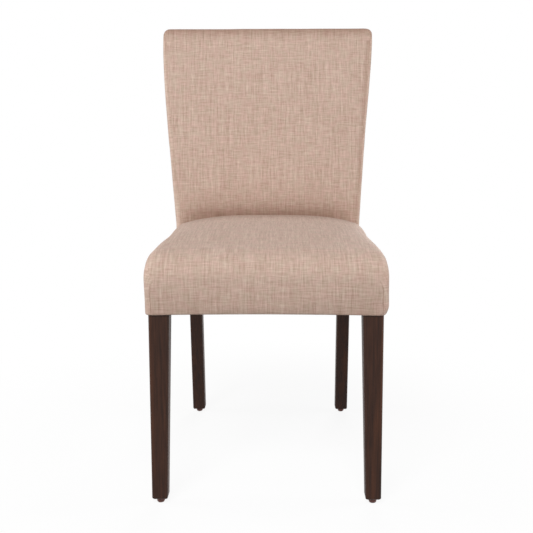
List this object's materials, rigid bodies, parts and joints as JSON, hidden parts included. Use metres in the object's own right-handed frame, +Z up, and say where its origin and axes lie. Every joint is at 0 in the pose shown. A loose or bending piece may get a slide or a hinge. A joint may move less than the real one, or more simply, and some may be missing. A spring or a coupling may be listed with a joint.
{
  "type": "parsons chair",
  "caption": "Upholstered dining side chair with a crowned fabric seat, a flared and leaning padded back, and dark tapered wooden legs on glides.",
  "frame": {"origin": "on the floor, under the middle of the chair's bounding box", "axes": "+Z up, the chair faces -Y and its back is towards +Y, +X is on the right seen from the front"},
  "size_m": [0.4948, 0.5802, 0.9524],
  "materials": {
    "linen": "plain-weave linen look with slubs, tan beige, matt",
    "stained_wood": "espresso stain under a semi-gloss lacquer",
    "frame_wood": "planed hardwood, unfinished",
    "plywood": "sanded birch plywood",
    "foam": "open-cell polyurethane foam",
    "wadding": "bonded polyester wadding",
    "webbing": "woven jute webbing",
    "dust_cloth": "black spun-bonded cloth",
    "zinc_steel": "zinc-plated steel",
    "glide_plastic": "moulded red-brown plastic, satin"
  },
  "bodies": {
    "root": {"seat_cover": "linen", "back_cover": "linen", "back_cover_rear": "linen", "front_leg_right": "stained_wood", "front_leg_left": "stained_wood", "rear_post_right": "stained_wood", "rear_post_left": "stained_wood", "front_seat_rail": "frame_wood", "rear_seat_rail": "frame_wood", "side_seat_rail_right": "frame_wood", "side_seat_rail_left": "frame_wood", "front_corner_block_right": "frame_wood", "front_corner_block_left": "frame_wood", "rear_corner_block_right": "frame_wood", "rear_corner_block_left": "frame_wood", "crest_rail": "frame_wood", "lower_back_rail": "frame_wood", "back_cheek_right": "frame_wood", "back_cheek_left": "frame_wood", "back_panel": "plywood", "seat_foam": "foam", "back_foam": "foam", "back_wadding": "wadding", "long_strap_1": "webbing", "cross_strap_1": "webbing", "long_strap_2": "webbing", "cross_strap_2": "webbing", "long_strap_3": "webbing", "cross_strap_3": "webbing", "dust_cover": "dust_cloth", "front_block_rail_screw_right": "zinc_steel", "front_block_rail_screw_left": "zinc_steel", "front_block_side_screw_right": "zinc_steel", "front_block_side_screw_left": "zinc_steel", "rear_block_rail_screw_right": "zinc_steel", "rear_block_rail_screw_left": "zinc_steel", "rear_block_side_screw_right": "zinc_steel", "rear_block_side_screw_left": "zinc_steel", "leg_lag_screw_right": "zinc_steel", "leg_lag_screw_left": "zinc_steel", "leg_lag_washer_right": "zinc_steel", "leg_lag_washer_left": "zinc_steel", "lower_post_bolt_right": "zinc_steel", "lower_post_bolt_left": "zinc_steel", "lower_post_nut_right": "zinc_steel", "lower_post_nut_left": "zinc_steel", "upper_post_bolt_right": "zinc_steel", "upper_post_bolt_left": "zinc_steel", "upper_post_nut_right": "zinc_steel", "upper_post_nut_left": "zinc_steel", "front_glide_right": "glide_plastic", "front_glide_left": "glide_plastic", "rear_glide_right": "glide_plastic", "rear_glide_left": "glide_plastic"}
  },
  "joints": []
}
